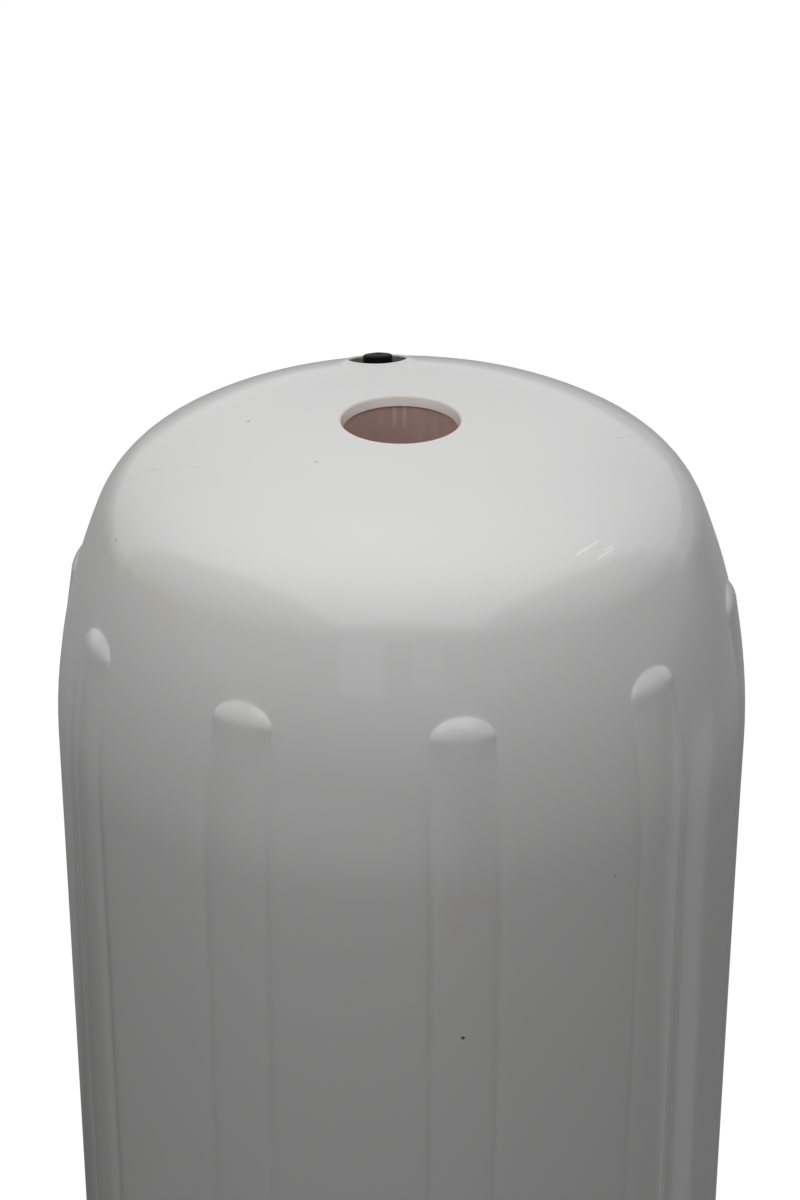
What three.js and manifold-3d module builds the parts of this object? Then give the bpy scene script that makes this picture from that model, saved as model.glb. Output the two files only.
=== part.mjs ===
// Boat fender: a ribbed inflatable fender with a rope tube through its middle, and its inflation valve.
// Units are millimetres. +Z runs up the fender's axis and the origin is the middle of the end it stands on.
// -Y is the front. The valve is in the upper end, behind the mouth of the rope tube.

import * as THREE from 'three';
import { mergeVertices } from 'three/addons/utils/BufferGeometryUtils.js';
import Module from 'manifold-3d';

const degrees = Math.PI / 180;

// Body: a closed vinyl moulding of even wall, with a flat ring at each end around the rope tube
const LENGTH = 520;
const WALL_RADIUS = 108; // over the straight wall, between the ribs
const SKIN = 3.5; // thickness of the wall and of the ends
const END_FLAT_RADIUS = 35;
const FLANK_RADIUS = 192; // long arc that draws the wall in towards the end
const FLANK_TURN = 22.6 * degrees;
const SHOULDER_RADIUS = 34.5; // tight arc between the flank and the crown
const SHOULDER_TURN = 35.4 * degrees;

// Rope tube: one bore from end to end, behind a thicker lip at each mouth
const TUBE_RADIUS = 18;
const TUBE_SKIN = 3;
const MOUTH_RADIUS = 18.2; // at the top of the lip
const LIP_RADIUS = 17.3; // at the foot of the lip
const LIP_DEPTH = 3.1;
const LIP_ROUND = 0.8;

// Ribs: low straight ribs along the wall, proud and rounded at their ends, nearly flush in the middle
const RIB_COUNT = 10;
const RIB_BEARING = -80.2 * degrees; // of the first rib, from +X
const RIB_WIDTH = 20; // on the straight wall
const RIB_END_GAP = 89; // from the edge of the end's flat ring, along the skin, to the tip of a rib
const RIB_NOSE = 6.5; // length over which a rib's tip rounds off
const RIB_END_RISE = 1.9;
const RIB_MIDDLE_RISE = 0.3;
const RIB_FADE = 24; // length over which the rise falls off, behind the nose
const RIB_CROWNING = { nose: 0.5, wall: 1.5 }; // 0.5 gives a full round section, 1.5 one with soft feet
const RIB_EASE = 8; // length over which the section changes, behind the nose

// Valve seat: a round pocket with a bore in its floor
const VALVE_REACH = 54.5; // from the fender's axis, measured square to it
const VALVE_BEARING = 97.7 * degrees; // from +X
const POCKET_RADIUS = 9;
const POCKET_DEPTH = 4.5;
const POCKET_CHAMFER = 0.7;
const VALVE_BORE_RADIUS = 3.8;

// Valve: a rubber plug with a head in the pocket, a neck in the bore and a flange inside the body
const VALVE_HEAD_RADIUS = 4.7;
const VALVE_STAND = 1.3; // height of the head's edge over the skin
const VALVE_CROWN = 0.6; // height of the head's middle over its edge
const VALVE_CROWN_BEND = { reach: 0.5, rise: 0.8 }; // shares of the head's radius and of its crown
const VALVE_EDGE = 0.5;
const VALVE_FLANGE_RADIUS = 6.2;
const VALVE_FLANGE = 1.6;
const NEEDLE_RADIUS = 0.8;
const NEEDLE_DEPTH = 6;
const CLEARANCE = 0.3; // between the valve and the moulding

// Fineness of the round surfaces
const AIR_SEGMENTS = 36;
const BORE_SEGMENTS = 36;
const VALVE_SEGMENTS = 28;
const SKIN_STEPS = [3, 5, 3]; // on the flank, the shoulder and the crown
const AIR_STEPS = [2, 3, 2];
const RIB_SHARES = [-1, -0.6, 0, 0.6, 1]; // lines along a rib, as shares of its half width
const VALLEY_STEPS = 3; // between two ribs
const NOSE_SHARES = [0, 0.5, 0.8, 1]; // rings along a nose, as shares of its length
const OVERCUT = 2; // how far a cutting solid runs past the face it cuts

const wasm = await Module();
wasm.setup();

// A closed geometry as a solid, with doubled vertices merged and collapsed triangles dropped
function solidFrom(geometry) {
  const bare = geometry.clone();
  bare.deleteAttribute('normal');
  bare.deleteAttribute('uv');
  const merged = mergeVertices(bare);
  const corners = merged.index.array;
  const triangles = [];
  for (let i = 0; i < corners.length; i += 3) {
    const [a, b, c] = corners.subarray(i, i + 3);
    if (a !== b && b !== c && c !== a) triangles.push(a, b, c);
  }
  return new wasm.Manifold(new wasm.Mesh({
    numProp: 3,
    vertProperties: new Float32Array(merged.attributes.position.array),
    triVerts: new Uint32Array(triangles),
  }));
}

function geometryFrom(solid) {
  const mesh = solid.getMesh();
  const geometry = new THREE.BufferGeometry();
  geometry.setAttribute('position', new THREE.BufferAttribute(mesh.vertProperties, 3));
  geometry.setIndex(new THREE.BufferAttribute(mesh.triVerts, 1));
  geometry.computeVertexNormals();
  return geometry;
}

// A solid of revolution about +Z, from pairs of radius and height listed upwards along its outside
function turned(pairs, segments) {
  const points = pairs.map(([radius, height]) => new THREE.Vector2(radius, height));
  return new THREE.LatheGeometry(points, segments).rotateX(Math.PI / 2);
}

// Section of the skin. The crown's radius follows from the other sizes, so the arcs meet the flat ring.
const crownStart = FLANK_TURN + SHOULDER_TURN;
const drawnIn = FLANK_RADIUS * (1 - Math.cos(FLANK_TURN))
  + SHOULDER_RADIUS * (Math.cos(FLANK_TURN) - Math.cos(crownStart));
const crownRadius = (WALL_RADIUS - END_FLAT_RADIUS - drawnIn) / Math.cos(crownStart);
const arcs = [
  { radius: FLANK_RADIUS, from: 0, to: FLANK_TURN },
  { radius: SHOULDER_RADIUS, from: FLANK_TURN, to: crownStart },
  { radius: crownRadius, from: crownStart, to: Math.PI / 2 },
];
const arcLength = (arc) => arc.radius * (arc.to - arc.from);
const arcHeight = (arc) => arc.radius * (Math.sin(arc.to) - Math.sin(arc.from));
const sum = (values) => values.reduce((total, value) => total + value, 0);
const straightHalf = LENGTH / 2 - sum(arcs.map(arcHeight));
const skinHalf = straightHalf + sum(arcs.map(arcLength));

// Radius, height and lean of the skin's outward direction, at a distance along it from mid-length
function skinAt(distance) {
  const end = distance < 0 ? -1 : 1;
  let rest = Math.abs(distance) - straightHalf;
  if (rest <= 0) return { radius: WALL_RADIUS, height: LENGTH / 2 + distance, lean: 0 };
  let radius = WALL_RADIUS;
  let rise = straightHalf;
  let lean = 0;
  for (const arc of arcs) {
    const turn = Math.min(Math.max(rest, 0) / arc.radius, arc.to - arc.from);
    lean = arc.from + turn;
    radius += arc.radius * (Math.cos(lean) - Math.cos(arc.from));
    rise += arc.radius * (Math.sin(lean) - Math.sin(arc.from));
    rest -= turn * arc.radius;
    if (rest <= 0) break;
  }
  return { radius, height: LENGTH / 2 + end * rise, lean: end * lean };
}

// Distances of the section's corners from mid-length, up to the edge of the flat ring
function arcStations(steps) {
  const stations = [straightHalf];
  arcs.forEach((arc, index) => {
    const start = stations[stations.length - 1];
    for (let step = 1; step <= steps[index]; step += 1) {
      stations.push(start + arcLength(arc) * step / steps[index]);
    }
  });
  return stations;
}

const mirrored = (stations) => [...stations.map((station) => -station).reverse(), ...stations];

// Height of a rib over the skin, at a distance from mid-length and a share of its half width
const ribTip = skinHalf - RIB_END_GAP;
const noseStart = ribTip - RIB_NOSE;
function ribRise(distance, share) {
  const pastNose = Math.max(Math.abs(distance) - noseStart, 0) / RIB_NOSE;
  const behindNose = Math.max(noseStart - Math.abs(distance), 0);
  const side = 1 - share ** 2;
  const nose = side > 0 ? Math.max(1 - pastNose ** 2 / side, 0) : 0;
  const rise = RIB_MIDDLE_RISE + (RIB_END_RISE - RIB_MIDDLE_RISE) * Math.exp(-behindNose / RIB_FADE);
  const ease = Math.exp(-behindNose / RIB_EASE);
  return rise * side ** (RIB_CROWNING.wall + (RIB_CROWNING.nose - RIB_CROWNING.wall) * ease) * nose;
}

// Lines around the body: each has a bearing from +X and a share of the half width of its rib
function linesAround() {
  const pitch = 2 * Math.PI / RIB_COUNT;
  const halfRib = RIB_WIDTH / 2 / WALL_RADIUS;
  const valley = pitch - 2 * halfRib;
  const lines = [];
  for (let rib = 0; rib < RIB_COUNT; rib += 1) {
    const middle = RIB_BEARING + rib * pitch;
    RIB_SHARES.forEach((share) => lines.push({ bearing: middle + share * halfRib, share }));
    for (let step = 1; step < VALLEY_STEPS; step += 1) {
      lines.push({ bearing: middle + halfRib + valley * step / VALLEY_STEPS, share: 1 });
    }
  }
  return lines;
}

// The solid within the skin: a turned body whose lines around are drawn out into the ribs
function bodyEnvelope() {
  const noseStations = NOSE_SHARES.map((share) => noseStart + share * RIB_NOSE);
  const stations = mirrored([...arcStations(SKIN_STEPS), ...noseStations].sort((a, b) => a - b));
  const section = stations.map(skinAt);
  const lines = linesAround();
  const pairs = [[0, 0], ...section.map(({ radius, height }) => [radius, height]), [0, LENGTH]];
  const envelope = turned(pairs, lines.length);
  const places = envelope.attributes.position;
  for (let i = 0; i < places.count; i += 1) {
    const row = i % pairs.length - 1;
    if (row < 0 || row >= section.length) continue;
    const { bearing, share } = lines[Math.floor(i / pairs.length) % lines.length];
    const { radius, height, lean } = section[row];
    const rise = ribRise(stations[row], share);
    const reach = radius + rise * Math.cos(lean);
    places.setXYZ(i, reach * Math.cos(bearing), reach * Math.sin(bearing), height + rise * Math.sin(lean));
  }
  return envelope;
}

// The air space between the skin and the rope tube, as one closed ring
function airSpace() {
  const tubeOutside = TUBE_RADIUS + TUBE_SKIN;
  const inside = mirrored(arcStations(AIR_STEPS)).map(skinAt).map(({ radius, height, lean }) => [
    radius - SKIN * Math.cos(lean),
    height - SKIN * Math.sin(lean),
  ]);
  return turned([
    [tubeOutside, SKIN],
    ...inside,
    [tubeOutside, LENGTH - SKIN],
    [tubeOutside, SKIN],
  ], AIR_SEGMENTS);
}

// The space of the rope tube: a mouth with a rounded edge, a tapered lip and the bore behind it
function ropeSpace() {
  const mouth = [[TUBE_RADIUS, LIP_DEPTH + (TUBE_RADIUS - LIP_RADIUS)], [LIP_RADIUS, LIP_DEPTH]];
  const roundSteps = 3;
  for (let step = 0; step <= roundSteps; step += 1) {
    const turn = step / roundSteps * Math.PI / 2;
    mouth.push([
      MOUTH_RADIUS + LIP_ROUND * (1 - Math.cos(turn)),
      LIP_ROUND * (1 - Math.sin(turn)),
    ]);
  }
  mouth.push([MOUTH_RADIUS + LIP_ROUND, -OVERCUT], [0, -OVERCUT]);
  const lower = [...mouth].reverse();
  const upper = mouth.map(([radius, depth]) => [radius, LENGTH - depth]);
  return turned([...lower, ...upper], BORE_SEGMENTS);
}

// Where the valve sits: on the crown of the upper end, square to the skin
const valveTilt = Math.asin((VALVE_REACH - END_FLAT_RADIUS) / crownRadius);
const valveSeat = new THREE.Group();
valveSeat.position.set(
  VALVE_REACH * Math.cos(VALVE_BEARING),
  VALVE_REACH * Math.sin(VALVE_BEARING),
  LENGTH - crownRadius * (1 - Math.cos(valveTilt)),
);
valveSeat.rotation.set(0, valveTilt, VALVE_BEARING, 'ZYX');
valveSeat.updateMatrix();

const seated = (geometry) => geometry.applyMatrix4(valveSeat.matrix);

// The cup of wall that stands into the air space around the pocket
function pocketCup() {
  const cupRadius = POCKET_RADIUS + SKIN;
  return seated(turned([
    [0, -POCKET_DEPTH - SKIN],
    [cupRadius, -POCKET_DEPTH - SKIN],
    [cupRadius, OVERCUT],
    [0, OVERCUT],
  ], VALVE_SEGMENTS));
}

function pocketSpace() {
  return seated(turned([
    [0, -POCKET_DEPTH],
    [POCKET_RADIUS, -POCKET_DEPTH],
    [POCKET_RADIUS, -POCKET_CHAMFER],
    [POCKET_RADIUS + POCKET_CHAMFER + OVERCUT, OVERCUT],
    [0, OVERCUT],
  ], VALVE_SEGMENTS));
}

function valveBore() {
  return seated(turned([
    [0, -POCKET_DEPTH - SKIN - OVERCUT],
    [VALVE_BORE_RADIUS, -POCKET_DEPTH - SKIN - OVERCUT],
    [VALVE_BORE_RADIUS, OVERCUT - POCKET_DEPTH],
    [0, OVERCUT - POCKET_DEPTH],
  ], VALVE_SEGMENTS));
}

function fenderBody() {
  let moulding = solidFrom(bodyEnvelope());
  const air = solidFrom(airSpace()).subtract(solidFrom(pocketCup()));
  moulding = moulding.subtract(air);
  for (const space of [ropeSpace(), pocketSpace(), valveBore()]) {
    moulding = moulding.subtract(solidFrom(space));
  }
  const mesh = new THREE.Mesh(geometryFrom(moulding), new THREE.MeshStandardMaterial({
    color: 0xdcdcd9,
    roughness: 0.28,
    metalness: 0,
  }));
  mesh.name = 'fender_body';
  return mesh;
}

function inflationValve() {
  const floor = -POCKET_DEPTH;
  const underside = floor - SKIN - CLEARANCE;
  const neckRadius = VALVE_BORE_RADIUS - CLEARANCE;
  const crown = VALVE_STAND + VALVE_CROWN;
  const plug = turned([
    [0, underside - VALVE_FLANGE],
    [VALVE_FLANGE_RADIUS, underside - VALVE_FLANGE],
    [VALVE_FLANGE_RADIUS, underside],
    [neckRadius, underside],
    [neckRadius, floor + CLEARANCE],
    [VALVE_HEAD_RADIUS, floor + CLEARANCE],
    [VALVE_HEAD_RADIUS, VALVE_STAND - VALVE_EDGE],
    [VALVE_HEAD_RADIUS - VALVE_EDGE, VALVE_STAND],
    [VALVE_HEAD_RADIUS * VALVE_CROWN_BEND.reach, VALVE_STAND + VALVE_CROWN * VALVE_CROWN_BEND.rise],
    [NEEDLE_RADIUS, crown],
    [NEEDLE_RADIUS, crown - NEEDLE_DEPTH],
    [0, crown - NEEDLE_DEPTH],
  ], VALVE_SEGMENTS);
  const mesh = new THREE.Mesh(geometryFrom(solidFrom(plug)), new THREE.MeshStandardMaterial({
    color: 0x141416,
    roughness: 0.55,
    metalness: 0,
  }));
  mesh.name = 'inflation_valve';
  return mesh;
}

const fender = new THREE.Group();
fender.add(fenderBody());
valveSeat.add(inflationValve());
fender.add(valveSeat);

export default fender;
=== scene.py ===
"""A white ribbed boat fender standing on its end: the moulded body and its rubber valve, on the CAD frame."""

import math

import bpy
import numpy as np
from mathutils import Euler, Matrix, Vector


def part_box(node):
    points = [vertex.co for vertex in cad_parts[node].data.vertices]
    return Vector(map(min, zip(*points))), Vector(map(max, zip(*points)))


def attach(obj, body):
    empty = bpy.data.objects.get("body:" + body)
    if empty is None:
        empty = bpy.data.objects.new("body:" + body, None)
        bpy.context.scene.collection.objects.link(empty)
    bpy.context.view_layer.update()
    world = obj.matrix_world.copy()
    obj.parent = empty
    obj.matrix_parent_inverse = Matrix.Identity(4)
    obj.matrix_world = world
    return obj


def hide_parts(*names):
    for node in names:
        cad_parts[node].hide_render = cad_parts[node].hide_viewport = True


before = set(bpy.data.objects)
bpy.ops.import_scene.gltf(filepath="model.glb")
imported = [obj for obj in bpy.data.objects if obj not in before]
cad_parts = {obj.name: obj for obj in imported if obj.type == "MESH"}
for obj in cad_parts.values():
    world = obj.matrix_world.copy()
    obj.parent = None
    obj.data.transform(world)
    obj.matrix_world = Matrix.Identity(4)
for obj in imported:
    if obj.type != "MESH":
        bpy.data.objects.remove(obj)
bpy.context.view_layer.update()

MM = 0.001
DEGREE = math.pi / 180

# Body: its length and place come from the frame, its section is the one that the solid has
body_low, body_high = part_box("fender_body")
LENGTH = body_high.z - body_low.z
MIDDLE = (body_high.z + body_low.z) / 2
WALL_RADIUS = 108 * MM
SKIN = 3.5 * MM
END_FLAT_RADIUS = 35 * MM
FLANK_RADIUS = 192 * MM
FLANK_TURN = 22.6 * DEGREE
SHOULDER_RADIUS = 34.5 * MM
SHOULDER_TURN = 35.4 * DEGREE

# Rope tube and its mouths
TUBE_RADIUS = 18 * MM
TUBE_SKIN = 3 * MM
MOUTH_RADIUS = 18.2 * MM
LIP_RADIUS = 17.3 * MM
LIP_DEPTH = 3.1 * MM
LIP_ROUND = 0.8 * MM
LIP_FOOT_ROUND = 0.25 * MM
LIP_RUN_OUT = 1.4 * MM  # how far the mouth's own section goes on into the tube

# Ribs
RIB_COUNT = 10
RIB_BEARING = -80.2 * DEGREE
RIB_WIDTH = 20 * MM
RIB_END_GAP = 89 * MM
RIB_NOSE = 6.5 * MM
RIB_END_RISE = 1.9 * MM
RIB_MIDDLE_RISE = 0.3 * MM
RIB_FADE = 24 * MM
RIB_NOSE_CROWNING = 0.5  # gives the nose a full round section
RIB_WALL_CROWNING = 1.5  # gives the rib soft feet
RIB_EASE = 8 * MM
RIB_SOFTNESS = 0.16  # of the foot of a nose, as a share of its rise
GROOVE_DEPTH = 0.5 * MM  # the wall is drawn in a little along both sides of a rib
GROOVE_WIDTH = 1.8 * MM
GROOVE_FADE = 40 * MM

# Valve seat
VALVE_REACH = 54.5 * MM
VALVE_BEARING = 97.7 * DEGREE
POCKET_RADIUS = 9 * MM
POCKET_DEPTH = 4.5 * MM
POCKET_EDGE_ROUND = 0.8 * MM
POCKET_FLOOR_ROUND = 0.8 * MM
POCKET_RIM_RISE = 0.5 * MM
POCKET_RIM_WIDTH = 1.6 * MM
VALVE_BORE_RADIUS = 3.8 * MM

# Valve
VALVE_HEAD_RADIUS = 4.7 * MM
VALVE_STAND = 1.3 * MM
VALVE_CROWN = 0.6 * MM
VALVE_KNEE = 0.55  # place of the crown's bend, as a share of the head's radius
VALVE_EDGE_ROUND = 0.6 * MM
VALVE_FLANGE_RADIUS = 6.2 * MM
VALVE_FLANGE = 1.6 * MM
VALVE_FLANGE_ROUND = 0.5 * MM
NEEDLE_RADIUS = 0.8 * MM
NEEDLE_DEPTH = 6 * MM
NEEDLE_EDGE_ROUND = 0.35 * MM
CLEARANCE = 0.3 * MM

# Fineness of the meshes
RIB_LINES = 16
BESIDE_RIB = (1.06, 1.14, 1.24, 1.4, 1.7)
VALLEY_LINES = 3
WALL_RINGS = 10
ARC_RINGS = (12, 12, 18)
AIR_WALL_RINGS = 3
AIR_ARC_RINGS = (6, 6, 18)
INNER_NOSE_RINGS = 14
OUTER_NOSE_RINGS = 10
NOSE_REACH = 14 * MM
NOSE_CROWDING = 1.8
FLAT_RINGS = 5
TUBE_RINGS = 24
AIR_TUBE_RINGS = 8
PATCH_RINGS = 12
PATCH_HALF = 17 * MM
VALVE_SEGMENTS = 64
ROUND_STEPS = 6

# Camera and lamp, in metres
CAMERA_PLACE = (-0.0002, -0.8216, 0.8714)
CAMERA_PITCH = 26.664 * DEGREE
CAMERA_LENS = 88.6
SENSOR_HEIGHT = 36
LAMP_PLACE = (-0.055, -0.227, 0.77)
LAMP_SIZE = (0.68, 0.668)
LAMP_POWER = 1.3

# Sky. A fade is a pair of values, where it starts and where it is done
SKY_LIGHT = 0.25
SKY_TILT = 0.03  # more of it from the right
HORIZON_FADE = (0.0, 0.07)  # rise of the direction over which mirrored rays come to see the sky
HORIZON_SHARE = 0.35
HORIZON_TILT = 0.12  # how much higher the dark band reaches on the right

# Bright panel overhead, only for mirrored rays, in the X and Y parts of a direction.
# Each side has a place on it and the bearing of the way in
PANEL_FRONT = (-0.81, -0.75)
PANEL_SIDES = [
    (-0.33, -0.71, 24.0 * DEGREE),
    (0.42, -0.7, 160.4 * DEGREE),
]
PANEL_EDGE = (-0.085, -0.015)
PANEL_BACK = (0.85, 0.0)
PANEL_GLOW = 1.0
BESIDE_PANEL = 0.75  # how much of the sky is left beside it
SKY_BEHIND = (0.1, 0.5)  # where the whole sky is back

# Floor, and how much of it mirrored rays see, near the object and away from it
FLOOR_SIZE = 12.0
FLOOR_ALBEDO = 0.12
FLOOR_SHOWN_ALBEDO = 0.6
FLOOR_SHOWN_GLOW = 0.86
FLOOR_SHARES = (0.14, 0.32)
FLOOR_REACH = (0.55, 1.15)

# Boards on the floor, pale in front on the left and dark far off on the right: place, fade and share
BOARDS = [
    ((-0.55, -1.15), (1.15, 0.35), 0.35),
    ((2.4, 1.0), (1.8, 0.9), -0.18),
]

# Strips of floor that run away behind the object, pale on the right and dark on the left:
# where each starts beside the object, its turn from the X axis, the fade of its half width and its share
STRIPS = [
    (0.4, 30.6 * DEGREE, (0.165, 0.13), 0.23),
    (0.09, -29.3 * DEGREE, (0.2, 0.09), -0.09),
]
STRIP_START = (0.0, 0.1)
STRIP_END = (1.05, 1.55)


# Section of the skin

crown_start = FLANK_TURN + SHOULDER_TURN
drawn_in = (FLANK_RADIUS * (1 - math.cos(FLANK_TURN))
            + SHOULDER_RADIUS * (math.cos(FLANK_TURN) - math.cos(crown_start)))
crown_radius = (WALL_RADIUS - END_FLAT_RADIUS - drawn_in) / math.cos(crown_start)
arcs = [
    (FLANK_RADIUS, 0, FLANK_TURN),
    (SHOULDER_RADIUS, FLANK_TURN, crown_start),
    (crown_radius, crown_start, math.pi / 2),
]
arc_lengths = [radius * (stop - start) for radius, start, stop in arcs]
arc_heights = [radius * (math.sin(stop) - math.sin(start)) for radius, start, stop in arcs]
straight_half = LENGTH / 2 - sum(arc_heights)
skin_half = straight_half + sum(arc_lengths)
nose_start = skin_half - RIB_END_GAP - RIB_NOSE
valve_tilt = math.asin((VALVE_REACH - END_FLAT_RADIUS) / crown_radius)
valve_station = skin_half - crown_radius * valve_tilt


def skin_at(distances):
    """Radius, height and lean of the skin at distances along it from mid-length."""
    end = np.where(distances < 0, -1, 1)
    rest = np.abs(distances) - straight_half
    radius = np.full_like(rest, WALL_RADIUS)
    rise = np.minimum(np.abs(distances), straight_half)
    lean = np.zeros_like(rest)
    for arc_radius, start, stop in arcs:
        turn = np.clip(rest / arc_radius, 0, stop - start)
        radius += arc_radius * (np.cos(start + turn) - math.cos(start))
        rise += arc_radius * (np.sin(start + turn) - math.sin(start))
        lean += turn
        rest -= arc_radius * (stop - start)
    return radius, MIDDLE + end * rise, end * lean


def rib_rise(distances, shares):
    """Height over the skin, at distances from mid-length and shares of a rib's half width."""
    past_nose = np.clip(np.abs(distances) - nose_start, 0, None) / RIB_NOSE
    behind_nose = np.clip(nose_start - np.abs(distances), 0, None)
    side = np.clip(1 - shares ** 2, 1e-9, 1)
    nose = 1 - past_nose ** 2 / side
    nose = (nose + np.sqrt(nose ** 2 + RIB_SOFTNESS ** 2)) / 2
    rise = RIB_MIDDLE_RISE + (RIB_END_RISE - RIB_MIDDLE_RISE) * np.exp(-behind_nose / RIB_FADE)
    beside = (np.abs(shares) - 1) * RIB_WIDTH / 2 / GROOVE_WIDTH
    groove = GROOVE_DEPTH * np.exp(-beside ** 2) * (1 - np.exp(-behind_nose / GROOVE_FADE))
    ease = np.exp(-behind_nose / RIB_EASE)
    crowning = RIB_WALL_CROWNING + (RIB_NOSE_CROWNING - RIB_WALL_CROWNING) * ease
    return rise * side ** crowning * nose - groove


# Mesh helpers

class Draft:
    """The vertices and faces of a mesh in the making, ring by ring."""

    def __init__(self):
        self.rings = []
        self.count = 0
        self.faces = []

    def ring(self, places):
        """Adds a ring of vertices and gives their numbers."""
        numbers = list(range(self.count, self.count + len(places)))
        self.rings.append(places)
        self.count += len(places)
        return numbers

    def bridge(self, first, second, flip=False, skip=()):
        """Adds the faces between two rings that run the same way round."""
        for index, number in enumerate(first):
            if index in skip:
                continue
            after = (index + 1) % len(first)
            face = [number, first[after], second[after], second[index]]
            self.faces.append(face[::-1] if flip else face)

    def chain(self, last, rings):
        """Adds rings one after another, from a ring that is there already, and gives the last one."""
        for places in rings:
            numbers = self.ring(places)
            self.bridge(last, numbers)
            last = numbers
        return last

    def cap(self, ring):
        self.faces.append(list(ring))

    def piece(self, name, material, slot, node):
        mesh = bpy.data.meshes.new(name)
        mesh.from_pydata(np.concatenate(self.rings).tolist(), [], self.faces)
        mesh.polygons.foreach_set("use_smooth", [True] * len(mesh.polygons))
        mesh.materials.append(material)
        piece = bpy.data.objects.new(name, mesh)
        bpy.context.scene.collection.objects.link(piece)
        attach(piece, "root")
        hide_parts(node)
        return piece


def spread(start, stop, count):
    """count values after start, evenly up to stop."""
    return [start + (stop - start) * step / count for step in range(1, count + 1)]


def rounded(corners):
    """Points of an open section. Its corners are (radius, height, rounding)."""
    section = []
    for index, (radius, height, rounding) in enumerate(corners):
        corner = Vector((radius, height))
        if not rounding:
            section.append(corner)
            continue
        back = (Vector(corners[index - 1][:2]) - corner).normalized()
        ahead = (Vector(corners[index + 1][:2]) - corner).normalized()
        half = back.angle(ahead) / 2
        centre = corner + (back + ahead).normalized() * rounding / math.sin(half)
        arm = corner + back * rounding / math.tan(half) - centre
        turn = math.copysign(math.pi - 2 * half, -back.x * ahead.y + back.y * ahead.x)
        for step in range(ROUND_STEPS + 1):
            section.append(centre + Matrix.Rotation(turn * step / ROUND_STEPS, 2) @ arm)
    return section


# Lines around the body, close together at the edges of the ribs

def lines_around():
    """Bearing of each line, and its place across the nearest rib as a share of the rib's half width."""
    pitch = 2 * math.pi / RIB_COUNT
    half_rib = RIB_WIDTH / 2 / WALL_RADIUS
    across = [math.sin(math.pi * (line / RIB_LINES - 0.5)) for line in range(RIB_LINES + 1)]
    across = [-share for share in reversed(BESIDE_RIB)] + across + list(BESIDE_RIB)
    valley = spread(BESIDE_RIB[-1], pitch / half_rib - BESIDE_RIB[-1], VALLEY_LINES + 1)[:-1]
    bearings, shares = [], []
    for rib in range(RIB_COUNT):
        for share in across + valley:
            bearings.append(RIB_BEARING + rib * pitch + share * half_rib)
            shares.append(min(share, pitch / half_rib - share))
    return np.array(bearings), np.array(shares)


bearings, shares = lines_around()


# Rings of the body

def arc_stations(wall_rings, arc_rings):
    """Distances from mid-length of the rings of one half, as one array of equal values for each ring."""
    stations = spread(0, straight_half, wall_rings)
    for length, rings in zip(arc_lengths, arc_rings):
        stations += spread(stations[-1], stations[-1] + length, rings)
    return [np.full(len(bearings), station) for station in stations]


def nose_stations():
    """Rings that bend round the noses of the ribs and crowd along their edge."""
    nose_edge = RIB_NOSE * np.sqrt(np.clip(1 - shares ** 2, 0, 1))
    stations = []
    for share in reversed(spread(0, 1, INNER_NOSE_RINGS)):
        stations.append(nose_start + nose_edge - (NOSE_REACH + nose_edge) * share ** NOSE_CROWDING)
    stations.append(nose_start + nose_edge)
    for share in spread(0, 1, OUTER_NOSE_RINGS):
        stations.append(nose_start + nose_edge + (NOSE_REACH - nose_edge) * share ** NOSE_CROWDING)
    return stations


def outer_stations():
    noses = nose_stations()
    margin = NOSE_REACH / INNER_NOSE_RINGS
    low, high = noses[0].min() - margin, noses[-1].max() + margin
    plain = [ring for ring in arc_stations(WALL_RINGS, ARC_RINGS) if not low < ring[0] < high]
    return sorted(plain + noses, key=lambda ring: ring.mean())


def skin_ring(stations, depth=0):
    radius, height, lean = skin_at(stations)
    rise = -depth if depth else rib_rise(stations, shares)
    reach = radius + rise * np.cos(lean)
    return np.stack([reach * np.cos(bearings), reach * np.sin(bearings), height + rise * np.sin(lean)], 1)


def plain_ring(radius, height):
    level = np.full(len(bearings), height)
    return np.stack([radius * np.cos(bearings), radius * np.sin(bearings), level], 1)


def mirrored(half):
    return [-ring for ring in reversed(half)] + [np.zeros(len(bearings))] + half


def mouth_section():
    """Pairs of radius and depth, from the flat ring over the mouth's edge and lip into the tube."""
    foot = LIP_DEPTH + TUBE_RADIUS - LIP_RADIUS
    flat = [(radius, 0, 0) for radius in spread(END_FLAT_RADIUS, MOUTH_RADIUS + 2 * LIP_ROUND, FLAT_RINGS)]
    return rounded(flat + [
        (MOUTH_RADIUS, 0, LIP_ROUND),
        (LIP_RADIUS, LIP_DEPTH, LIP_FOOT_ROUND),
        (TUBE_RADIUS, foot, LIP_FOOT_ROUND),
        (TUBE_RADIUS, foot + LIP_RUN_OUT, 0),
    ])


def outer_rings():
    """Up the wall, over the upper end, down the rope tube and under the lower end."""
    section = mouth_section()
    tube_top = body_high.z - section[-1].y
    tube_foot = body_low.z + section[-1].y
    rings = [skin_ring(stations) for stations in mirrored(outer_stations())]
    rings += [plain_ring(radius, body_high.z - depth) for radius, depth in section]
    rings += [plain_ring(TUBE_RADIUS, height) for height in spread(tube_top, tube_foot, TUBE_RINGS)[:-1]]
    rings += [plain_ring(radius, body_low.z + depth) for radius, depth in reversed(section)]
    return rings


def air_rings():
    """The same round on the air side of the skin and of the rope tube."""
    half = arc_stations(AIR_WALL_RINGS, AIR_ARC_RINGS)
    tube_outside = TUBE_RADIUS + TUBE_SKIN
    tube_top, tube_foot = body_high.z - SKIN, body_low.z + SKIN
    rings = [skin_ring(stations, SKIN) for stations in mirrored(half)]
    rings += [plain_ring(tube_outside, tube_top)]
    rings += [plain_ring(tube_outside, height) for height in spread(tube_top, tube_foot, AIR_TUBE_RINGS)]
    return rings


# The valve's seat: rings lead from the edge of a patch of the crown into the pocket

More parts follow.
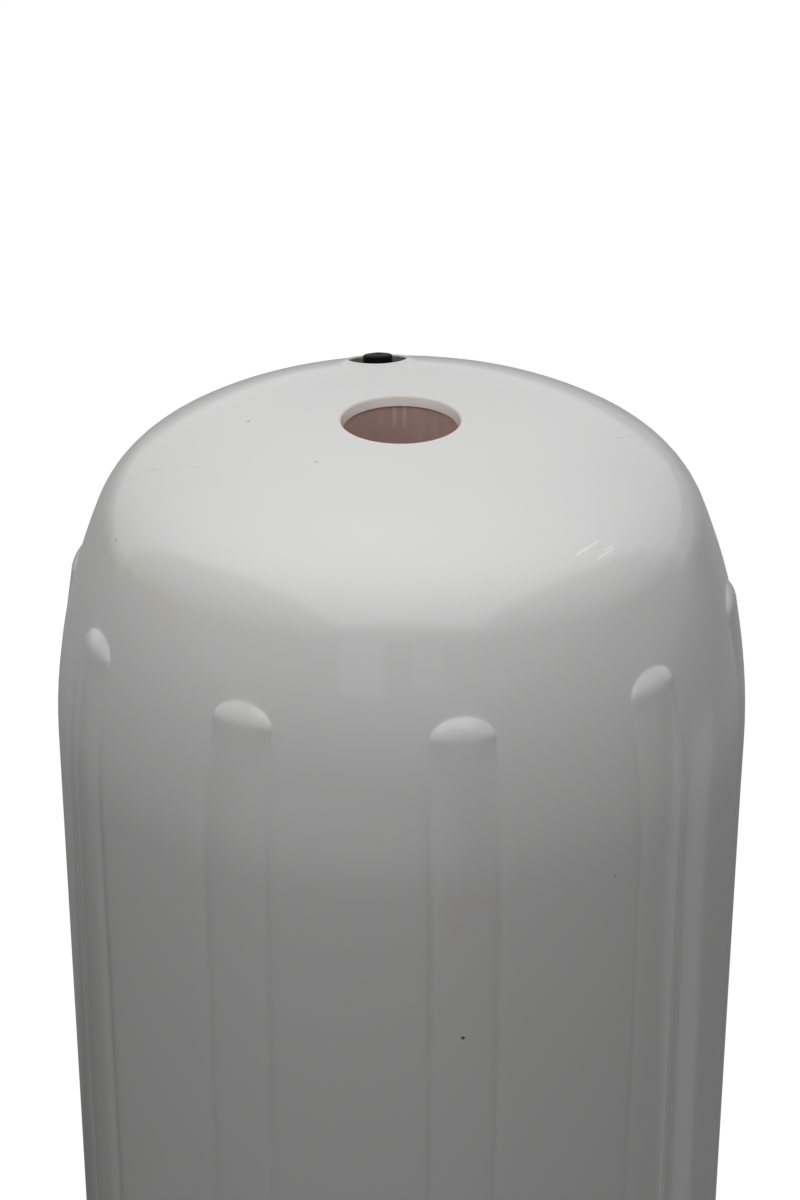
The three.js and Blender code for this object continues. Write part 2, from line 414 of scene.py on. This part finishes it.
seat_place = np.array([
    VALVE_REACH * math.cos(VALVE_BEARING),
    VALVE_REACH * math.sin(VALVE_BEARING),
    body_high.z - crown_radius * (1 - math.cos(valve_tilt)),
])
seat_axes = np.array(Euler((0, valve_tilt, VALVE_BEARING), "XYZ").to_matrix())


def from_seat(angles, radius, height):
    """Places in the scene, from round coordinates about the seat."""
    local = [radius * np.cos(angles), radius * np.sin(angles), height + np.zeros(len(angles))]
    return np.stack(local, 1) @ seat_axes.T + seat_place


def to_seat(places):
    """Angles, radii and heights about the seat."""
    local = (places - seat_place) @ seat_axes
    return np.arctan2(local[:, 1], local[:, 0]), np.hypot(local[:, 0], local[:, 1]), local[:, 2]


def on_crown(places, depth):
    """The places moved straight up or down onto the upper crown, or a depth within it."""
    across = np.clip(np.hypot(places[:, 0], places[:, 1]) - END_FLAT_RADIUS, 0, None)
    height = body_high.z - crown_radius + np.sqrt((crown_radius - depth) ** 2 - across ** 2)
    return np.stack([places[:, 0], places[:, 1], height], 1)


def patch_cells(half):
    """Rows and lines of the patch of crown that is taken out round the seat."""
    rows = [len(half) + 1 + row for row, ring in enumerate(half)
            if abs(ring[0] - valve_station) < PATCH_HALF and ring[0] > skin_half - arc_lengths[-1]]
    gaps = np.angle(np.exp(1j * (bearings - VALVE_BEARING)))
    lines = [int(line) for line in np.argsort(gaps) if abs(gaps[line]) < PATCH_HALF / VALVE_REACH]
    return rows, lines


def crown_side(draft, rings, half, flip):
    """Adds a closed round of rings without the patch, and gives the patch's edge, anticlockwise."""
    rows, lines = patch_cells(half)
    numbers = [draft.ring(ring) for ring in rings]
    for row, ring in enumerate(numbers):
        skip = lines[:-1] if row in rows[:-1] else ()
        draft.bridge(ring, numbers[(row + 1) % len(numbers)], flip, skip)
    edge = [(rows[0], line) for line in lines]
    edge += [(row, lines[-1]) for row in rows[1:-1]]
    edge += [(rows[-1], line) for line in reversed(lines)]
    edge += [(row, lines[0]) for row in reversed(rows[1:-1])]
    places = np.array([rings[row][line] for row, line in edge])
    return [numbers[row][line] for row, line in edge], places


def patch_rings(places, radius, depth):
    """Rings over the crown, from the patch's edge to a circle round the seat."""
    angles, spans, _ = to_seat(places)
    rings = []
    for share in spread(0, 1, PATCH_RINGS):
        span = spans + (radius - spans) * (1 - (1 - share) ** 2)
        rings.append(on_crown(from_seat(angles, span, 0), depth))
    return rings


def pocket_rim(places):
    """The places near the pocket's edge raised into a low rim."""
    gap = to_seat(places)[1] - POCKET_RADIUS - POCKET_EDGE_ROUND
    rise = POCKET_RIM_RISE * np.exp(-(gap / POCKET_RIM_WIDTH) ** 2)
    return places + rise[:, None] * seat_axes[:, 2]


def pocket_rings(places):
    """Rings from the pocket's edge down its wall and over its floor, through the bore and round the cup."""
    angles, _, brim = to_seat(places)
    pocket_floor = -POCKET_DEPTH
    under = pocket_floor - SKIN
    rings = []
    for step in range(1, ROUND_STEPS + 1):
        turn = math.pi / 2 * step / ROUND_STEPS
        radius = POCKET_RADIUS + POCKET_EDGE_ROUND * (1 - math.sin(turn))
        rings.append(from_seat(angles, radius, brim - POCKET_EDGE_ROUND * (1 - math.cos(turn))))
    section = rounded([
        (POCKET_RADIUS, pocket_floor / 2, 0),
        (POCKET_RADIUS, pocket_floor, POCKET_FLOOR_ROUND),
        (VALVE_BORE_RADIUS, pocket_floor, 0),
        (VALVE_BORE_RADIUS, under, 0),
        (POCKET_RADIUS + SKIN, under, 0),
    ])
    return rings + [from_seat(angles, radius, height) for radius, height in section]


def fender_shell(material):
    """The one-piece moulding, hollow, with its pocket and the bore that the valve closes."""
    draft = Draft()
    edge, places = crown_side(draft, outer_rings(), outer_stations(), False)
    air_half = arc_stations(AIR_WALL_RINGS, AIR_ARC_RINGS)
    air_edge, air_places = crown_side(draft, air_rings(), air_half, True)
    crown = [pocket_rim(ring) for ring in patch_rings(places, POCKET_RADIUS + POCKET_EDGE_ROUND, 0)]
    air_crown = patch_rings(air_places, POCKET_RADIUS + SKIN, SKIN)
    last = draft.chain(edge, crown + pocket_rings(crown[-1]) + air_crown[::-1])
    draft.bridge(last, air_edge)
    return draft.piece("fender_shell", material, "white_vinyl", "fender_body")


def needle_valve(material):
    """The rubber plug: a head with a needle hole, a neck through the bore and a flange inside."""
    head_foot = -POCKET_DEPTH + CLEARANCE
    under = -POCKET_DEPTH - SKIN - CLEARANCE
    neck = VALVE_BORE_RADIUS - CLEARANCE
    top = VALVE_STAND + VALVE_CROWN
    knee = VALVE_HEAD_RADIUS * VALVE_KNEE
    knee_rise = knee * VALVE_CROWN / (VALVE_HEAD_RADIUS - NEEDLE_RADIUS)
    section = rounded([
        (NEEDLE_RADIUS, under - VALVE_FLANGE, 0),
        (VALVE_FLANGE_RADIUS, under - VALVE_FLANGE, VALVE_FLANGE_ROUND),
        (VALVE_FLANGE_RADIUS, under, VALVE_FLANGE_ROUND),
        (neck, under, 0),
        (neck, head_foot, 0),
        (VALVE_HEAD_RADIUS, head_foot, VALVE_FLANGE_ROUND),
        (VALVE_HEAD_RADIUS, VALVE_STAND, VALVE_EDGE_ROUND),
        (knee, VALVE_STAND + knee_rise, 2 * VALVE_EDGE_ROUND),
        (NEEDLE_RADIUS, top, NEEDLE_EDGE_ROUND),
        (NEEDLE_RADIUS, top - NEEDLE_DEPTH, 0),
    ])
    angles = np.linspace(0, 2 * math.pi, VALVE_SEGMENTS, endpoint=False)
    draft = Draft()
    first = draft.ring(from_seat(angles, section[0].x, section[0].y))
    last = draft.chain(first, [from_seat(angles, radius, height) for radius, height in section[1:]])
    draft.cap(first[::-1])
    draft.cap(last)
    return draft.piece("needle_valve", material, "black_rubber", "inflation_valve")


# Materials

class Nodes:
    """A node tree, with short calls for the nodes that it is made of."""

    def __init__(self, tree):
        self.tree = tree

    def give(self, socket, value):
        """Links an input to another socket, or sets it to a plain value."""
        if isinstance(value, bpy.types.NodeSocket):
            self.tree.links.new(value, socket)
        else:
            socket.default_value = value

    def add(self, kind, settings=None, inputs=None):
        node = self.tree.nodes.new("ShaderNode" + kind)
        for name, value in (settings or {}).items():
            setattr(node, name, value)
        for name, value in (inputs or {}).items():
            self.give(node.inputs[name], value)
        return node

    def math(self, operation, first, second=0.0, clamp=False):
        node = self.add("Math", {"operation": operation, "use_clamp": clamp}, {0: first, 1: second})
        return node.outputs[0]

    def fade(self, value, low, high, to_low=0.0, to_high=1.0):
        """Smooth step of a value from low to high, mapped to the two results."""
        inputs = {"Value": value, "From Min": low, "From Max": high, "To Min": to_low, "To Max": to_high}
        return self.add("MapRange", {"interpolation_type": "SMOOTHSTEP"}, inputs).outputs["Result"]

    def vector(self, operation, inputs, output="Vector"):
        return self.add("VectorMath", {"operation": operation}, inputs).outputs[output]

    def distance(self, first, second):
        return self.vector("DISTANCE", {0: first, 1: second}, "Value")

    def parts(self, vector):
        """The X, Y and Z of a vector."""
        return tuple(self.add("SeparateXYZ", None, {"Vector": vector}).outputs)


class Surface(Nodes):
    """A material on the object's own coordinates."""

    def __init__(self, name):
        self.material = bpy.data.materials.new(name)
        self.material.use_nodes = True
        super().__init__(self.material.node_tree)
        self.shader = self.tree.nodes["Principled BSDF"]
        self.place = self.add("TexCoord").outputs["Object"]

    def set(self, name, value):
        self.give(self.shader.inputs[name], value)

    def noise(self, pattern, place=None):
        scale, detail, roughness = pattern
        inputs = {"Vector": place or self.place, "Scale": scale, "Detail": detail, "Roughness": roughness}
        return self.add("TexNoise", None, inputs).outputs["Fac"]

    def mix(self, share, base, other):
        """Colour between two colours, each a socket or a triple."""
        node = self.add("Mix", {"data_type": "RGBA"}, {0: share})
        # a Mix node has its two colours in inputs 6 and 7, and gives their mix in output 2
        for number, value in ((6, base), (7, other)):
            self.give(node.inputs[number], (*value, 1.0) if isinstance(value, tuple) else value)
        return node.outputs[2]

    def bump(self, height, strength, distance, normal=None):
        inputs = {"Height": height, "Strength": strength, "Distance": distance}
        if normal:
            inputs["Normal"] = normal
        return self.add("Bump", None, inputs).outputs["Normal"]


# Colours
WHITE = (0.775, 0.775, 0.775)
WARM_WHITE = (0.77, 0.768, 0.76)
YELLOWED = (0.76, 0.762, 0.665)
BROWN_STAIN = (0.815, 0.74, 0.69)
FINE_LINE = (0.70, 0.70, 0.70)
SCRATCH = (0.9, 0.9, 0.9)
# painted shade in the creases along the edges of the ribs
CREASE_SHADE = (0.66, 0.655, 0.645)
# painted reflection of the lamp, as pale patches on the front
REFLECTION_WHITE = (0.83, 0.83, 0.83)
SPECK = (0.09, 0.075, 0.065)
# painted shade of the deep rope tube, warm brown, with pale painted highlights
TUBE_SHADE_BROWN = (0.54, 0.375, 0.33)
TUBE_HIGHLIGHT = (0.70, 0.54, 0.49)
# painted shade on the lip within each mouth, and a painted warm rim of light round it
LIP_SHADE_GREY = (0.76, 0.705, 0.675)
LIP_LIGHT_FRINGE = (0.88, 0.78, 0.68)
# painted shade inside the valve's pocket
POCKET_SHADE_GREY = (0.2, 0.197, 0.193)
RUBBER_BLACK = (0.003, 0.003, 0.004)
RUBBER_DUSTED = (0.012, 0.012, 0.012)

# Noise patterns, as scale, detail and roughness
MOTTLING = (9.0, 2.0, 0.5)
TINT_CLOUD = (110.0, 3.0, 0.6)
# cloud that breaks up the painted shade beside the ribs
CREASE_SHADE_CLOUD = (25.0, 2.0, 0.5)
# noise of the pale painted highlights in the rope tube
HIGHLIGHT_STREAKS = (160.0, 2.0, 0.5)
VINYL_WAVES = (30.0, 1.0, 0.5)
VINYL_GRAIN = (900.0, 2.0, 0.6)
RUBBER_DUST = (420.0, 3.0, 0.6)
RUBBER_GRAIN = (1500.0, 2.0, 0.5)

# Fades, as a pattern's values at both ends and, where it isn't 0 and 1, what they are mapped to
MOTTLING_FADE = (0.2, 0.9)
TINT_FADE = (0.35, 0.6, 0.15, 0.85)
# fade of that cloud of painted shade
CREASE_SHADE_FADE = (0.3, 0.7, 0.5, 1.0)
# fade of those painted highlights
HIGHLIGHT_STREAKS_FADE = (0.5, 0.8, 0.0, 0.4)
DUST_FADE = (0.5, 0.75)
DUST_ROUGHNESS = (0.3, 0.7, 0.42, 0.58)

# Shine, and bumps as strength and depth
VINYL_ROUGHNESS = 0.13
VINYL_IOR = 1.5
RUBBER_IOR = 1.16
WAVES_BUMP = (0.1, 0.3 * MM)
GRAIN_BUMP = (0.12, 0.08 * MM)
RUBBER_BUMP = (0.2, 0.1 * MM)

# Painted shade along both edges of each rib, where the wall is drawn in beside it
CREASE_SHADE_LINE = (1.7 * MM, 0.3 * MM)  # fade across, from a rib's edge
CREASE_SHADE_REACH = 3 * RIB_FADE  # below a nose, where it has its full strength
CREASE_SHADE_STRENGTH = 0.45

# Painted light at the mouths and in the rope tube, as fades of the distance from the axis and from mid-length
LIP_SHADE_SIDE = (MOUTH_RADIUS + LIP_ROUND, MOUTH_RADIUS + LIP_ROUND / 2)
LIGHT_FRINGE_SIDE = (MOUTH_RADIUS + 2.2 * LIP_ROUND, MOUTH_RADIUS + 1.2 * LIP_ROUND)
LIGHT_FRINGE_STRENGTH = 0.6
LIP_FOOT = LENGTH / 2 - LIP_DEPTH
# painted shade below the lip, and painted highlights as pale upright streaks on the tube's far wall
SHADE_BROWN_SIDE = (TUBE_RADIUS + 0.6 * MM, TUBE_RADIUS + 0.3 * MM)
SHADE_BROWN_TOP = (LIP_FOOT + 0.1 * MM, LIP_FOOT - 0.3 * MM)
HIGHLIGHT_STREAKS_STRETCH = 0.08
HIGHLIGHT_PLACES = (-1.9 * MM, 1.2 * MM)
HIGHLIGHT_SIDE = (0.9 * MM, 0.3 * MM)
HIGHLIGHT_TOP = (LIP_FOOT - 9 * MM, LIP_FOOT - 4 * MM)
HIGHLIGHT_STRENGTH = 0.7
POCKET_EDGE = (0.3 * MM, -0.2 * MM)  # fade of the painted shade's grey, past the pocket's brim

# Marks, as runs of bearing, radius and height in millimetres
FINE_LINES = [
    [(-82.5, 89.1, 498.4), (-83.1, 85.6, 502.5), (-81, 81.1, 506.2)],
    [(-81, 81.1, 506.2), (-79.3, 75.8, 509.4), (-68.1, 64, 514.8)],
    [(89, 65.4, 514.3), (97, 73.8, 510.5)],
    [(92.5, 75.4, 509.7), (96.9, 83, 504.7)],
]
SCRATCHES = [
    [(37.8, 81.8, 505.6), (40.8, 81, 506.2)],
    [(39.9, 81.5, 505.9), (44.6, 80.5, 506.5)],
    [(42.2, 84.3, 503.6), (46.7, 83.8, 504.1)],
    [(44.3, 83.3, 504.5), (46.9, 83.1, 504.7)],
]
YELLOW_RUNS = [
    [(-79.3, 91.7, 494.3), (-66.9, 91.3, 495), (-53, 92.3, 493.2), (-39.7, 96.3, 483.3)],
    [(-24.7, 102, 464.9), (-24, 102, 464.5)],
    [(-46.4, 108, 307.9), (-58.7, 108, 270.6)],
]
STAIN_RUNS = [
    [(7.5, 108, 417), (12, 108, 415.5)],
    [(8, 108, 416), (8.6, 108, 407)],
]

# How the runs are painted, cloudy or sharp: their width and soft edge in millimetres, and their colour
CLOUDY_STROKES = [
    (YELLOW_RUNS, 3, 6, YELLOWED),
    (STAIN_RUNS, 2, 4, BROWN_STAIN),
]
SHARP_STROKES = [
    (FINE_LINES, 0.3, 0.4, FINE_LINE),
    (SCRATCHES, 0.2, 0.5, SCRATCH),
]

# Painted reflections: paler patches of the front, as ranges of X and of height in millimetres, and their
# strength
REFLECTION_PATCHES = [
    (-17.2, -4.7, 478, 492, 0.7),
    (2.8, 11.7, 479, 492, 0.3),
]
REFLECTION_EDGE = 1.5
FRONT_FADE = (0.0, -50 * MM)

# Dark specks, as bearing, radius, height and the speck's own radius in millimetres, and its strength
SPECKS = [
    (-90, 46, 519, 0.6, 0.45),
    (-38, 40, 520, 0.55, 0.3),
    (9.7, 108, 369, 0.6, 1.0),
    (-67.6, 91, 496, 0.5, 0.5),
    (-33.6, 108, 439, 0.5, 0.3),
    (14.9, 108, 431, 0.4, 0.25),
    (35.4, 108, 413, 0.4, 0.3),
    (14.8, 79, 489, 0.35, 0.25),
]
SPECK_EDGE = (1.4, 0.7)  # as shares of its radius


def on_body(bearing, radius, height):
    """A place, from degrees off the front towards +X and millimetres from the axis and the floor."""
    turn = bearing * DEGREE
    return (radius * MM * math.sin(turn), -radius * MM * math.cos(turn), height * MM)


def stroke(surface, first, second):
    """Distance from the straight line between two places."""
    start = np.array(on_body(*first))
    along = np.array(on_body(*second)) - start
    offset = surface.vector("SUBTRACT", {0: surface.place, 1: tuple(start)})
    share = surface.vector("DOT_PRODUCT", {0: offset, 1: tuple(along / along.dot(along))}, "Value")
    share = surface.math("ADD", share, 0.0, True)
    nearest = surface.vector("SCALE", {0: tuple(along), "Scale": share})
    return surface.distance(offset, nearest)


def strokes(surface, runs, width, edge):
    """1 along the runs, falling to 0 over the edge beside their width."""
    nearest = None
    for run in runs:
        for first, second in zip(run, run[1:]):
            gap = stroke(surface, first, second)
            nearest = surface.math("MINIMUM", nearest, gap) if nearest else gap
    return surface.fade(nearest, (width / 2 + edge) * MM, width / 2 * MM)


def reflection_patches(surface, colour, x, y, z):
    """Painted reflection: faint pale upright patches on the front, over a colour."""
    front = surface.fade(y, *FRONT_FADE)
    for left, right, low, high, strength in REFLECTION_PATCHES:
        share = surface.math("MULTIPLY", front, strength)
        for value, start, stop in ((x, left, right), (z, low, high)):
            past = surface.math("ABSOLUTE", surface.math("SUBTRACT", value, (start + stop) / 2 * MM))
            half = (stop - start) / 2
            inside = surface.fade(past, (half + REFLECTION_EDGE) * MM, (half - REFLECTION_EDGE) * MM)
            share = surface.math("MULTIPLY", share, inside)
        colour = surface.mix(share, colour, REFLECTION_WHITE)
    return colour


def marks_and_painted_reflections(surface, colour, x, y, z):
    """Tints, a stain, pale patches of painted reflection, fine lines, scratches and specks over a colour."""
    cloud = surface.fade(surface.noise(TINT_CLOUD), *TINT_FADE)
    for runs, width, edge, other in CLOUDY_STROKES:
        share = surface.math("MULTIPLY", strokes(surface, runs, width, edge), cloud)
        colour = surface.mix(share, colour, other)
    colour = reflection_patches(surface, colour, x, y, z)
    for runs, width, edge, other in SHARP_STROKES:
        colour = surface.mix(strokes(surface, runs, width, edge), colour, other)
    for bearing, radius, height, size, strength in SPECKS:
        gap = surface.distance(surface.place, on_body(bearing, radius, height))
        fade = [size * MM * share for share in SPECK_EDGE]
        colour = surface.mix(surface.fade(gap, *fade, 0.0, strength), colour, SPECK)
    return colour


def rib_crease_shade(surface, colour, x, y, from_axis, from_middle):
    """Painted shade over a colour: a darker line along both edges of each rib, fading out towards its noses.
    """
    pitch = 2 * math.pi / RIB_COUNT
    turn = surface.math("SUBTRACT", surface.math("ARCTAN2", y, x), RIB_BEARING)
    pitches = surface.math("PINGPONG", surface.math("DIVIDE", turn, pitch), 0.5)
    from_rib = surface.math("MULTIPLY", pitches, pitch)
    from_edge = surface.math("SUBTRACT", surface.math("MULTIPLY", from_rib, from_axis), RIB_WIDTH / 2)
    line = surface.fade(surface.math("ABSOLUTE", from_edge), *CREASE_SHADE_LINE)
    cloud = surface.fade(surface.noise(CREASE_SHADE_CLOUD), *CREASE_SHADE_FADE)
    down = surface.fade(from_middle, nose_start, nose_start - CREASE_SHADE_REACH, 0.0, CREASE_SHADE_STRENGTH)
    share = surface.math("MULTIPLY", surface.math("MULTIPLY", line, cloud), down)
    return surface.mix(share, colour, CREASE_SHADE)


def mouth_painted_light(surface, colour, from_axis):
    """Painted light at each mouth: a warm rim of light round it as a fringe, and painted shade on the greyer
    lip within it.
    """
    colour = surface.mix(surface.fade(from_axis, *LIGHT_FRINGE_SIDE, 0.0, LIGHT_FRINGE_STRENGTH), colour, LIP_LIGHT_FRINGE)
    return surface.mix(surface.fade(from_axis, *LIP_SHADE_SIDE), colour, LIP_SHADE_GREY)


def tube_shade_and_highlights(surface, colour, x, from_axis, from_middle):
    """The brown inside of the rope tube as painted shade with a warm tint, and its pale streaks as painted
    highlights.
    """
    stretched = surface.add("Mapping", None, {"Vector": surface.place, "Scale": (1.0, 1.0, HIGHLIGHT_STREAKS_STRETCH)})
    pale = surface.fade(surface.noise(HIGHLIGHT_STREAKS, stretched.outputs["Vector"]), *HIGHLIGHT_STREAKS_FADE)
    top = surface.fade(from_middle, *HIGHLIGHT_TOP)
    for middle in HIGHLIGHT_PLACES:
        gap = surface.math("ABSOLUTE", surface.math("SUBTRACT", x, middle))
        streak = surface.math("MULTIPLY", surface.fade(gap, *HIGHLIGHT_SIDE, 0.0, HIGHLIGHT_STRENGTH), top)
        pale = surface.math("MAXIMUM", pale, streak)
    shaded_brown = surface.mix(pale, TUBE_SHADE_BROWN, TUBE_HIGHLIGHT)
    side = surface.fade(from_axis, *SHADE_BROWN_SIDE)
    share = surface.math("MULTIPLY", side, surface.fade(from_middle, *SHADE_BROWN_TOP))
    return surface.mix(share, colour, shaded_brown)


def pocket_painted_shade(surface, colour):
    """Painted shade: the dark inside of the valve's pocket."""
    floor_place = tuple(seat_place - seat_axes[:, 2] * POCKET_DEPTH)
    brim_gap = math.hypot(POCKET_RADIUS, POCKET_DEPTH)
    fade = [brim_gap + past for past in POCKET_EDGE]
    share = surface.fade(surface.distance(surface.place, floor_place), *fade)
    return surface.mix(share, colour, POCKET_SHADE_GREY)


def vinyl():
    surface = Surface("white_vinyl")
    x, y, z = surface.parts(surface.place)
    flat_place = surface.add("CombineXYZ", None, {"X": x, "Y": y}).outputs["Vector"]
    from_axis = surface.vector("LENGTH", {0: flat_place}, "Value")
    from_middle = surface.math("ABSOLUTE", surface.math("SUBTRACT", z, MIDDLE))
    mottling = surface.fade(surface.noise(MOTTLING), *MOTTLING_FADE)
    colour = surface.mix(mottling, WHITE, WARM_WHITE)
    # the marks hold painted reflections, and the rib lines, mouths, rope tube and pocket get painted shade
    # and light
    colour = marks_and_painted_reflections(surface, colour, x, y, z)
    colour = rib_crease_shade(surface, colour, x, y, from_axis, from_middle)
    colour = mouth_painted_light(surface, colour, from_axis)
    colour = tube_shade_and_highlights(surface, colour, x, from_axis, from_middle)
    surface.set("Base Color", pocket_painted_shade(surface, colour))
    surface.set("Roughness", VINYL_ROUGHNESS)
    surface.set("IOR", VINYL_IOR)
    soft = surface.bump(surface.noise(VINYL_WAVES), *WAVES_BUMP)
    surface.set("Normal", surface.bump(surface.noise(VINYL_GRAIN), *GRAIN_BUMP, soft))
    return surface.material


def rubber():
    surface = Surface("black_rubber")
    dust = surface.noise(RUBBER_DUST)
    surface.set("Base Color", surface.mix(surface.fade(dust, *DUST_FADE), RUBBER_BLACK, RUBBER_DUSTED))
    surface.set("Roughness", surface.fade(dust, *DUST_ROUGHNESS))
    surface.set("IOR", RUBBER_IOR)
    surface.set("Normal", surface.bump(surface.noise(RUBBER_GRAIN), *RUBBER_BUMP))
    return surface.material


# Floor, sky, lamp and camera

def shown_share(nodes, glossy_share):
    """How far a ray sees the backdrop as it is shown: fully from the camera, partly in a mirror."""
    path = nodes.add("LightPath")
    share = nodes.math("MULTIPLY", path.outputs["Is Glossy Ray"], glossy_share)
    share = nodes.math("ADD", share, path.outputs["Is Transmission Ray"], True)
    return nodes.math("ADD", share, path.outputs["Is Camera Ray"], True)


def floor_share(nodes):
    """How much of the floor mirrored rays see: little near the object, and the boards and strips."""
    place = nodes.add("TexCoord").outputs["Object"]
    x, y, _ = nodes.parts(place)
    from_object = nodes.distance(place, (0.0, 0.0, body_low.z))
    share = nodes.fade(from_object, *FLOOR_REACH, *FLOOR_SHARES)
    away = nodes.fade(from_object, *FLOOR_REACH)
    for (board_x, board_y), fade, strength in BOARDS:
        gap = nodes.distance(place, (board_x, board_y, body_low.z))
        board = nodes.math("MULTIPLY", nodes.fade(gap, *fade, 0.0, strength), away)
        share = nodes.math("ADD", share, board)
    behind = nodes.fade(from_object, *STRIP_END, 1.0, 0.0)
    behind = nodes.math("MULTIPLY", nodes.fade(y, *STRIP_START), behind)
    for start, turn, fade, strength in STRIPS:
        aside = nodes.math("MULTIPLY", nodes.math("SUBTRACT", x, start), math.sin(turn))
        aside = nodes.math("SUBTRACT", aside, nodes.math("MULTIPLY", y, math.cos(turn)))
        strip = nodes.fade(nodes.math("ABSOLUTE", aside), *fade, 0.0, strength)
        share = nodes.math("ADD", share, nodes.math("MULTIPLY", strip, behind))
    return share


def sky_panel(nodes, x, y):
    """1 for directions towards the bright panel overhead, which is narrower at the front."""
    inside = nodes.fade(y, *PANEL_FRONT)
    for side_x, side_y, turn in PANEL_SIDES:
        across = nodes.math("MULTIPLY", x, math.cos(turn))
        across = nodes.math("ADD", across, nodes.math("MULTIPLY", y, math.sin(turn)))
        side = side_x * math.cos(turn) + side_y * math.sin(turn)
        gap = nodes.math("SUBTRACT", across, side)
        inside = nodes.math("MULTIPLY", inside, nodes.fade(gap, *PANEL_EDGE))
    return inside


def sky_share(nodes, rightward, y, z, inside):
    """How much of the sky mirrored rays see: less beside the panel and along the horizon."""
    upward = nodes.math("SUBTRACT", z, nodes.math("MULTIPLY", rightward, HORIZON_TILT))
    over = nodes.fade(upward, *HORIZON_FADE, HORIZON_SHARE, 1.0)
    covered = nodes.math("MAXIMUM", inside, nodes.fade(y, *SKY_BEHIND))
    return nodes.math("MULTIPLY", over, nodes.fade(covered, 0.0, 1.0, BESIDE_PANEL, 1.0))


def grey(level):
    return (level, level, level, 1.0)


def floor_material():
    material = bpy.data.materials.new("pale_floor")
    material.use_nodes = True
    nodes = Nodes(material.node_tree)
    nodes.tree.nodes.remove(nodes.tree.nodes["Principled BSDF"])
    plain = nodes.add("BsdfDiffuse", None, {"Color": grey(FLOOR_ALBEDO)})
    shown = nodes.add("BsdfDiffuse", None, {"Color": grey(FLOOR_SHOWN_ALBEDO)})
    glow = nodes.add("Emission", None, {"Strength": FLOOR_SHOWN_GLOW})
    both = nodes.add("AddShader", None, {0: shown.outputs[0], 1: glow.outputs[0]})
    share = shown_share(nodes, floor_share(nodes))
    choice = nodes.add("MixShader", None, {0: share, 1: plain.outputs[0], 2: both.outputs[0]})
    nodes.give(nodes.tree.nodes["Material Output"].inputs["Surface"], choice.outputs[0])
    return material


def floor():
    half = FLOOR_SIZE / 2
    corners = [(x, y, body_low.z) for x, y in ((-half, -half), (half, -half), (half, half), (-half, half))]
    mesh = bpy.data.meshes.new("floor")
    mesh.from_pydata(corners, [], [(0, 1, 2, 3)])
    mesh.materials.append(floor_material())
    plane = bpy.data.objects.new("floor", mesh)
    bpy.context.scene.collection.objects.link(plane)


def sky():
    world = bpy.data.worlds.new("sky")
    world.use_nodes = True
    nodes = Nodes(world.node_tree)
    x, y, z = nodes.parts(nodes.add("TexCoord").outputs["Generated"])
    rightward = nodes.math("MAXIMUM", x, 0.0)
    inside = sky_panel(nodes, x, y)
    light = nodes.math("ADD", nodes.math("MULTIPLY", rightward, SKY_TILT), SKY_LIGHT)
    share = shown_share(nodes, sky_share(nodes, rightward, y, z, inside))
    strength = nodes.add("MapRange", None, {"Value": share, "To Min": light, "To Max": 1.0})
    glow = nodes.math("MULTIPLY", inside, nodes.add("LightPath").outputs["Is Glossy Ray"])
    glow = nodes.math("MULTIPLY", glow, nodes.fade(y, *PANEL_BACK, 0.0, PANEL_GLOW))
    total = nodes.math("ADD", strength.outputs["Result"], glow)
    background = nodes.tree.nodes["Background"]
    nodes.give(background.inputs["Color"], grey(1.0))
    nodes.give(background.inputs["Strength"], total)
    bpy.context.scene.world = world


def lamp():
    light = bpy.data.lights.new("overhead_lamp", "AREA")
    light.shape = "RECTANGLE"
    light.size, light.size_y = LAMP_SIZE
    light.energy = LAMP_POWER
    item = bpy.data.objects.new("overhead_lamp", light)
    item.location = LAMP_PLACE
    item.visible_camera = False
    item.visible_glossy = False
    bpy.context.scene.collection.objects.link(item)


def camera():
    data = bpy.data.cameras.new("camera")
    data.sensor_fit = "VERTICAL"
    data.sensor_height = SENSOR_HEIGHT
    data.lens = CAMERA_LENS
    item = bpy.data.objects.new("camera", data)
    item.location = CAMERA_PLACE
    item.rotation_euler = (math.pi / 2 - CAMERA_PITCH, 0, 0)
    bpy.context.scene.collection.objects.link(item)
    bpy.context.scene.camera = item


bpy.context.scene.view_settings.view_transform = "Standard"
camera()
lamp()
sky()
floor()
fender_shell(vinyl())
needle_valve(rubber())
